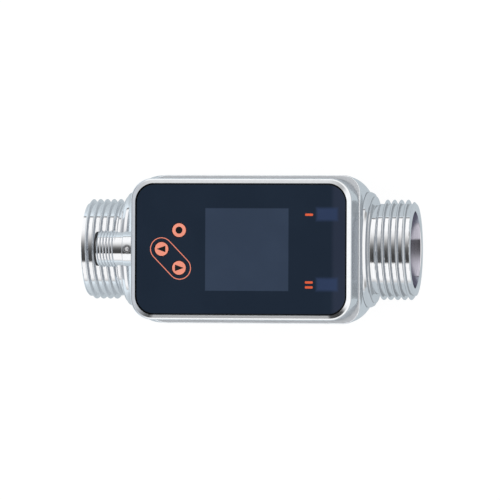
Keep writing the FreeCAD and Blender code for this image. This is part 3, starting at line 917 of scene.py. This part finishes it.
@dataclass
class DisplayHead:
    """Polished cover of the head, with its rim, its window ledge and the boss of the connector."""

    corner: float = 7.2
    wall: float = 1.6
    opening_corner: float = 6.3
    crown_width: float = 1.54
    crown_height: float = 0.95
    strip_width: float = 0.82
    strip_lean: float = math.radians(16.3)
    bend_angle: float = math.radians(73.0)
    bend_steps: int = 12
    rim_break: float = 0.12
    foot_break: float = 0.15
    ledge_width: float = 2.6
    floor: float = 1.2
    skirt_wall: float = 1.2
    skirt_corner: float = 4.8
    carrier_gap: float = 0.2
    boss_length: float = 3.5
    boss_radius: float = 5.7
    boss_wall: float = 0.8
    boss_face: float = 0.5
    boss_reach: float = 0.6
    boss_edge: float = 0.2
    bore_clearance: float = 0.05
    screw_gap: float = 0.1

    def loops(self, size: Loop, top: float, skirt: Loop, lip: Pair) -> list[Loop]:
        """Loops of the cover, from its foot over the rim and down the inside to the skirt.

        Args:
            size: Outside of the cover at its foot.
            top: Height of the rim.
            skirt: Outside of the skirt.
            lip: Lowest and highest place of the ledge that carries the window.

        Returns:
            The loops in order, the last next to the first.
        """
        foot = size.height
        loss = (size.corner - self.opening_corner) / self.wall
        rim = Loop(size.length, size.width, size.corner, top, loss)
        made = [size.inset(self.foot_break, foot), size.inset(0.0, foot + self.foot_break)]
        bend = self.crown_width - self.strip_width
        drop = self.strip_width * math.tan(self.strip_lean)
        for step in range(self.bend_steps + 1):
            angle = self.bend_angle * step / self.bend_steps
            across = (1 - math.cos(angle)) / (1 - math.cos(self.bend_angle))
            rise = math.sin(angle) / math.sin(self.bend_angle)
            made.append(rim.inset(bend * across, top - drop - (self.crown_height - drop) * (1 - rise)))
        inside, view = self.wall, self.wall + self.ledge_width
        made += [
            rim.inset(self.crown_width, top), rim.inset(inside, top - self.rim_break),
            rim.inset(inside, lip[1]), size.inset(view, lip[1]), size.inset(view, lip[0]),
            size.inset(inside, lip[0]), size.inset(inside, foot + self.floor),
            skirt.inset(self.skirt_wall, foot + self.floor), skirt.inset(self.skirt_wall, skirt.height),
            skirt, skirt.inset(0.0, foot),
        ]
        return made

    def build(self) -> None:
        """Builds the cover and puts it in the frame."""
        low, high = span("head_cover")
        inlet = low.x + self.boss_length
        centre = Vector(((inlet + high.x) / 2, 0, 0))
        size = Loop(high.x - inlet, high.y - low.y, self.corner, span("head_gasket")[1].z)
        inner_low, inner_high = span("display_carrier")
        around = 2 * (self.carrier_gap + self.skirt_wall)
        reach = inner_high - inner_low
        skirt = Loop(reach.x + around, reach.y + around, self.skirt_corner, low.z)
        lip = (inner_high.z, span("window_seal")[0].z)
        loops = self.loops(size, high.z, skirt, lip)
        piece = Skin([loop.points(centre) for loop in loops], closed=True).piece("polished_head_cover")
        plug_low, plug_high = span("connector_shell")
        axis = Vector((0, 0, (plug_low.z + plug_high.z) / 2))
        inward = inlet + self.boss_reach * self.wall
        boss = eased([
            (low.x, self.boss_face * self.boss_radius), (low.x, self.boss_radius),
            (inward, self.boss_radius)], self.boss_edge)
        combine(piece, turned(boss, Turning.ALONG_PIPE, WIDE_RING, axis), "UNION")
        radius = self.boss_radius - self.boss_wall + self.bore_clearance
        bore = [(low.x - OVERCUT, radius), (plug_high.x, radius)]
        combine(piece, turned(bore, Turning.ALONG_PIPE, WIDE_RING, axis), "DIFFERENCE")
        screw_low, screw_high = span("connector_grub_screw")
        radius = (screw_high.x - screw_low.x) / 2 + self.screw_gap
        hole = [(screw_low.z, radius), (high.z, radius)]
        spot = middle("connector_grub_screw")
        combine(piece, turned(hole, Turning.UPRIGHT, SMALL_RING, spot), "DIFFERENCE")
        shade(piece)
        dress(piece, [POLISHED_STEEL], nodes=["head_cover"])


@dataclass
class Window:
    """Dark pane in the head with key holes, and the print on it."""

    corner: float = 6.1
    trim: float = 0.1
    edge: float = 0.3
    back_edge: float = 0.1
    facing: float = 0.95
    hole_gap: float = 0.2
    print_height: float = 0.012
    bar_length: float = 2.6
    bar_width: float = 0.76
    bar_corner: float = 0.3
    bar_steps: int = 6
    bar_x: float = 25.9
    bar_rows: tuple[float, ...] = (11.3, -10.7, -12.3)
    ring_radius: float = 3.65
    ring_width: float = 0.28
    ring_shift: Pair = (0.19, -0.04)

    def build_pane(self) -> None:
        """Builds the pane with its bevelled edge and its key holes."""
        low, high = span("front_window")
        size = Loop(high.x - low.x - 2 * self.trim, high.y - low.y - 2 * self.trim, self.corner, low.z)
        loops = [
            size.inset(self.back_edge, low.z), size.inset(0.0, low.z + self.back_edge),
            size.inset(0.0, high.z - self.edge), size.inset(self.edge, high.z)]
        centre = middle("front_window")
        piece = Skin([loop.points(centre) for loop in loops], capped=True).piece("dark_pane")
        radius = Keys.cap_radius + self.hole_gap
        drill = [(low.z - OVERCUT, radius), (high.z + OVERCUT, radius)]
        for key in Keys.marks:
            combine(piece, turned(drill, Turning.UPRIGHT, KEY_RING, middle(key)), "DIFFERENCE")
        shade(piece)
        dress(piece, [PANE, PANE_EDGE], nodes=["front_window"],
              second=lambda face: face.normal.z < self.facing)

    def build_print(self) -> None:
        """Builds the bars beside the state windows and the ring round the arrow keys."""
        top = span("front_window")[1].z
        bars = Skin()
        loop = Loop(self.bar_length, self.bar_width, self.bar_corner, top)
        for row in self.bar_rows:
            bars.film([loop.points(Vector((self.bar_x, row, 0)), self.bar_steps)], self.print_height)
        dress(bars.piece("state_bars"), [PRINT_ORANGE])
        start = middle("up_key") + Vector((0, 0, top))
        end = middle("down_key") + Vector((*self.ring_shift, top))
        sides = (self.ring_width / 2, -self.ring_width / 2)
        ring = Skin()
        ring.film([capsule(start, end, self.ring_radius + side) for side in sides], self.print_height)
        dress(ring.piece("arrow_key_ring"), [OUTLINE_ORANGE])


@dataclass
class Keys:
    """Three round push keys with their signs."""

    cap_radius: ClassVar[float] = 2.26
    marks: ClassVar[dict[str, KeyMark]] = {
        "enter_key": KeyMark.DOT, "up_key": KeyMark.TOWARDS_INLET, "down_key": KeyMark.TOWARDS_OUTLET}
    flange_thickness: float = 0.6
    stem_radius: float = 0.8
    flat_share: float = 0.4
    edge: float = 0.22
    edge_steps: int = 6
    shaft_edge: float = 0.08
    dot_radius: float = 1.15
    arrow_length: float = 2.9
    arrow_width: float = 2.15
    arrow_shares: Pair = (0.55, -0.45)
    arrow_edge: float = 0.18
    mark_height: float = 0.015

    def mark(self, key: str, top: float) -> list[Vector]:
        """Outline of the sign on a key.

        Args:
            key: Name of the key.
            top: Height of its cap.

        Returns:
            The outline on the cap.
        """
        kind, centre = self.marks[key], middle(key)
        if kind is KeyMark.DOT:
            return turned([(top, self.dot_radius)], Turning.UPRIGHT, SMALL_RING, centre)[0]
        tip, tail = (share * kind.value * self.arrow_length for share in self.arrow_shares)
        corners = [(tip, 0.0), (tail, self.arrow_width / 2), (tail, -self.arrow_width / 2)]
        return [centre + Vector((x, y, top)) for x, y in eased(corners, self.arrow_edge, closed=True)]

    def build(self, key: str) -> None:
        """Builds one key with its sign and puts them on the key's body.

        Args:
            key: Name of the key.
        """
        low, high = span(key)
        flange = (high.x - low.x) / 2
        flange_top = span("front_window")[0].z
        flange_low = flange_top - self.flange_thickness
        shaft = eased([
            (low.z, self.flat_share * self.stem_radius), (low.z, self.stem_radius),
            (flange_low, self.stem_radius), (flange_low, flange), (flange_top, flange),
            (flange_top, self.cap_radius)], self.shaft_edge)
        cap = eased([
            (flange_top, self.cap_radius), (high.z, self.cap_radius),
            (high.z, self.flat_share * self.cap_radius)], self.edge, steps=self.edge_steps)
        rings = turned(shaft + cap[1:], Turning.UPRIGHT, KEY_RING, middle(key))
        piece = Skin(rings, capped=True).piece("push_" + key)
        shade(piece)
        dress(piece, [KEY_ORANGE], key, [key])
        sign = Skin()
        sign.film([self.mark(key, high.z)], self.mark_height)
        dress(sign.piece("sign_of_" + key), [MARK_DARK], key)


# Connector


@dataclass
class Connector:
    """Round threaded plug connector beside the head, with the screw that locks it."""

    neck_radius: float = 5.4
    neck_length: float = 2.4
    thread_length: float = 7.0
    thread_pitch: float = 1.0
    thread_depth: float = 0.6
    thread_rows: int = 24
    first_crest: float = -41.3
    socket_radius: float = 4.35
    socket_depth: float = 7.5
    rear_radius: float = 3.6
    spigot_radius: float = 4.9
    mouth: float = 0.25
    edge: float = 0.1
    end_ring: float = 0.65
    end_radius: float = 5.6
    screw_edge: float = 0.15
    screw_flats: Pair = (0.5, 0.7)
    hex_flats: float = 1.35
    hex_depth: float = 0.3
    drill_point: float = 0.36
    drill_tip: float = 0.04

    def build_shell(self) -> None:
        """Builds the threaded shell."""
        low, high = span("connector_shell")
        axis = Vector((0, 0, (low.z + high.z) / 2))
        start, end = low.x + self.thread_length, low.x + self.end_ring
        boss = start + self.neck_length
        floor = low.x + self.socket_depth
        outline = [
            (end, self.neck_radius), (end, self.end_radius), (low.x, self.end_radius),
            (low.x, self.socket_radius + self.mouth), (low.x + self.mouth, self.socket_radius),
            (floor, self.socket_radius), (floor, self.rear_radius),
            (high.x, self.rear_radius), (high.x, self.spigot_radius), (boss, self.spigot_radius),
            (boss, self.neck_radius), (start, self.neck_radius),
        ]
        thread = Thread(
            start, start - end, Side.INLET, self.neck_radius, self.thread_depth, self.thread_pitch,
            self.first_crest, self.thread_rows, WIDE_RING)
        skin = Skin(turned(eased(outline, self.edge), Turning.ALONG_PIPE, WIDE_RING, axis))
        skin.take(thread.mesh(TURNED_STEEL), axis)
        piece = skin.piece("threaded_connector_shell")
        shade(piece)
        # Painted shade: the ring at the free end takes the black rubber finish, standing for the dark
        # shadow at the plug's end.
        dress(piece, [TURNED_STEEL, SEAL_RUBBER_AND_PAINTED_SHADE], nodes=["connector_shell"],
              second=lambda face: face.center.x < end * MM)

    def build_screw(self) -> None:
        """Builds the lock screw with its six-sided socket."""
        low, high = span("connector_grub_screw")
        centre = middle("connector_grub_screw")
        radius = (high.x - low.x) / 2
        below, above = (share * radius for share in self.screw_flats)
        outline = [(low.z, below), (low.z, radius), (high.z, radius), (high.z, above)]
        rings = turned(eased(outline, self.screw_edge), Turning.UPRIGHT, SMALL_RING, centre)
        floor = high.z - self.hex_depth
        angles = [2 * math.pi * place / SMALL_RING for place in range(SMALL_RING)]
        half = self.hex_flats / 2
        spots = [(half / math.cos(angle % (math.pi / 3) - math.pi / 6), angle) for angle in angles]
        for height in (high.z, floor):
            rings.append([centre + Turning.UPRIGHT.point(height, *spot) for spot in spots])
        tip = [(floor - self.drill_point, self.drill_tip)]
        rings += turned(tip, Turning.UPRIGHT, SMALL_RING, centre)
        piece = Skin(rings, capped=True).piece("socket_lock_screw")
        shade(piece)
        dress(piece, [PLAIN_STEEL], nodes=["connector_grub_screw"])


# Frame pieces and surroundings


def dress_frame_nodes() -> None:
    """Gives each frame node the finish of its material slot."""
    for entry in frame["record"]["subparts"]:
        node = frame["nodes"][entry["node"]]
        finish = NODE_FINISHES.get(entry["node"], SLOT_FINISHES[entry["material_slot"]])
        for slot in node.material_slots:
            slot.material = finish.material()
        log.info("frame node %s in %s", node.name, finish.name)


@dataclass
class Studio:
    """Pale floor, soft light from all round and the camera of the photograph.

    A fade gives the two places or directions between which a level changes, and its two levels.
    The panels are levels over the angle from straight up, in degrees about the pipe.
    """

    tilt: float = math.radians(10.1)
    roll: float = math.radians(0.22)
    distance: float = 2000.0
    scale: float = 3.01
    aim: Pair = (-0.80, -0.23)
    sensor: float = 36.0
    clip_end: float = 20.0
    floor_half: float = 3000.0
    floor_glow: float = 0.90
    # Levels that metal mirrors in the floor, once and again: painted shade, bright far out on the inlet
    # side and dimmer from near the object on towards the outlet.
    floor_mirrored_painted_shade: Fade = (-0.12, -0.04, 0.8, 0.48)
    floor_again_painted_shade: Fade = (-0.06, 0.03, 0.9, 0.55)
    floor_tint: Colour = (0.88, 1.0, 1.08)
    floor_grey: Colour = (0.14, 0.14, 0.14)
    ambient: Colour = (0.98, 0.98, 0.98)
    panels: tuple[Pair, ...] = (
        (-92, 0.5), (-86, 0.8), (-78, 1.08), (-35, 1.08), (-32, 0.06), (-14, 0.06), (0, 0.11), (8, 0.2),
        (15, 0.34), (24, 0.58), (38, 0.92), (50, 1.08), (86, 1.1), (87, 0.2), (89, 0.2), (91, 0.5))
    outlet_mask: Fade = (0.15, 0.3, 0.0, 1.0)
    outlet_level: Fade = (0.1, 0.4, 0.4, 1.1)
    inlet_mask: Fade = (-0.3, -0.65, 0.0, 1.0)
    inlet_level: Fade = (-0.68, -0.85, 0.65, 0.38)
    inlet_tint: Colour = (0.96, 1.0, 1.06)
    second_mirrored: Colour = (0.38, 0.41, 0.44)
    once_mirrored: float = 1.5

    def build_camera(self) -> None:
        """Places the long-lens camera above the display."""
        back = Vector((math.sin(self.tilt), 0, math.cos(self.tilt)))
        right = Vector((math.cos(self.tilt), 0, -math.sin(self.tilt)))
        up = Vector((0, 1, 0))
        data = bpy.data.cameras.new("camera")
        data.sensor_width = self.sensor
        data.lens = self.scale * self.sensor * self.distance / PHOTO_SIZE
        data.clip_end = self.clip_end
        camera = bpy.data.objects.new("camera", data)
        bpy.context.scene.collection.objects.link(camera)
        aim = right * self.aim[0] + up * self.aim[1]
        turn = Matrix((right, up, back)).transposed().to_4x4() @ Matrix.Rotation(self.roll, 4, "Z")
        camera.matrix_world = Matrix.Translation((aim + back * self.distance) * MM) @ turn
        bpy.context.scene.camera = camera

    def rays(self, graph: Graph) -> tuple[Socket, Socket, Socket]:
        """Masks of the rays that meet the floor or the world.

        Args:
            graph: Graph of the floor's material or of the world.

        Returns:
            The masks of rays from the camera, of mirrored rays, and of rays mirrored again.
        """
        path = graph.add("ShaderNodeLightPath").outputs
        seen = graph.math("MAXIMUM", path["Is Camera Ray"], path["Is Transmission Ray"])
        again = graph.math("GREATER_THAN", path["Glossy Depth"], self.once_mirrored)
        return seen, path["Is Glossy Ray"], again

    def build_floor(self) -> None:
        """Lays the floor under the barrel."""
        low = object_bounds()[0].z
        half = self.floor_half * MM
        corners = [(-half, -half, low), (half, -half, low), (half, half, low), (-half, half, low)]
        mesh = bpy.data.meshes.new("floor")
        mesh.from_pydata(corners, [], [(0, 1, 2, 3)])
        floor = bpy.data.objects.new("floor", mesh)
        bpy.context.scene.collection.objects.link(floor)
        material = bpy.data.materials.new("floor_white")
        material.use_nodes = True
        graph = Graph(material.node_tree)
        seen, glossy, again = self.rays(graph)
        x = graph.parts(graph.add("ShaderNodeTexCoord").outputs["Object"])["X"]
        # Painted shade: what metal mirrors in the floor eases along X from bright far out on the inlet side
        # to dimmer near the object, and is tinted bluish.
        second = graph.ramp(again, 0.0, 1.0, 1.0, graph.ramp(x, *self.floor_again_painted_shade))
        first = graph.math("MULTIPLY", glossy, graph.ramp(x, *self.floor_mirrored_painted_shade))
        mirrored = graph.math("MULTIPLY", first, second)
        strength = graph.math("MULTIPLY_ADD", seen, self.floor_glow, mirrored)
        colour = graph.mix(glossy, WHITE, self.floor_tint)
        glow = graph.add("ShaderNodeEmission", {"Color": colour, "Strength": strength})
        plain = graph.add("ShaderNodeBsdfDiffuse", {"Color": (*self.floor_grey, 1.0)})
        both = graph.add("ShaderNodeAddShader", {0: glow.outputs[0], 1: plain.outputs[0]})
        graph.add("ShaderNodeOutputMaterial", {"Surface": both.outputs[0]})
        mesh.materials.append(material)
        floor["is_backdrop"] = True

    def build_world(self) -> None:
        """Surrounds the object with soft light, and with the panels that the polished metal mirrors."""
        world = bpy.data.worlds.new("studio")
        world.use_nodes = True
        bpy.context.scene.world = world
        graph = Graph(world.node_tree)
        way = graph.parts(graph.add("ShaderNodeTexCoord").outputs["Generated"])
        lean = graph.math("ARCTAN2", way["Y"], way["Z"])
        across = graph.add(
            "ShaderNodeMapRange", {"Value": lean, "From Min": -math.pi, "From Max": math.pi}).outputs[0]
        panels = graph.add("ShaderNodeValToRGB", {"Fac": across})
        stops = panels.color_ramp.elements
        while len(stops) < len(self.panels):
            stops.new(0.5)
        for stop, (degrees, level) in zip(stops, self.panels):
            stop.position = 0.5 + degrees / 360
            stop.color = (level, level, level, 1.0)
        outlet = graph.ramp(way["Z"], *self.outlet_level)
        inlet = graph.scale(self.inlet_tint, graph.ramp(way["X"], *self.inlet_level))
        mirrored = graph.mix(graph.ramp(way["X"], *self.outlet_mask), panels.outputs["Color"], outlet)
        mirrored = graph.mix(graph.ramp(way["X"], *self.inlet_mask), mirrored, inlet)
        seen, glossy, again = self.rays(graph)
        mirrored = graph.mix(again, mirrored, self.second_mirrored)
        colour = graph.mix(seen, graph.mix(glossy, self.ambient, mirrored), WHITE)
        back = graph.add("ShaderNodeBackground", {"Color": colour, "Strength": 1.0})
        graph.add("ShaderNodeOutputWorld", {"Surface": back.outputs[0]})


def clear_scene() -> None:
    """Removes what a new file holds beside the frame."""
    kept = set(frame["nodes"].values()) | set(frame["bodies"].values())
    for stray in [item for item in bpy.data.objects if item not in kept]:
        bpy.data.objects.remove(stray)


def main() -> None:
    """Builds the pieces in order."""
    logging.basicConfig(level=logging.INFO, format="%(message)s")
    clear_scene()
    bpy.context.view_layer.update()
    bpy.context.scene.view_settings.view_transform = "Standard"
    studio = Studio()
    studio.build_camera()
    studio.build_world()
    dress_frame_nodes()
    PipeEnd(Side.INLET, "inlet_adapter", first_crest=-49.1).build()
    PipeEnd(Side.OUTLET, "outlet_adapter", first_crest=45.49).build()
    DisplayHead().build()
    window = Window()
    window.build_pane()
    window.build_print()
    keys = Keys()
    for key in keys.marks:
        keys.build(key)
    connector = Connector()
    connector.build_shell()
    connector.build_screw()
    studio.build_floor()


if __name__ == "__main__":
    main()
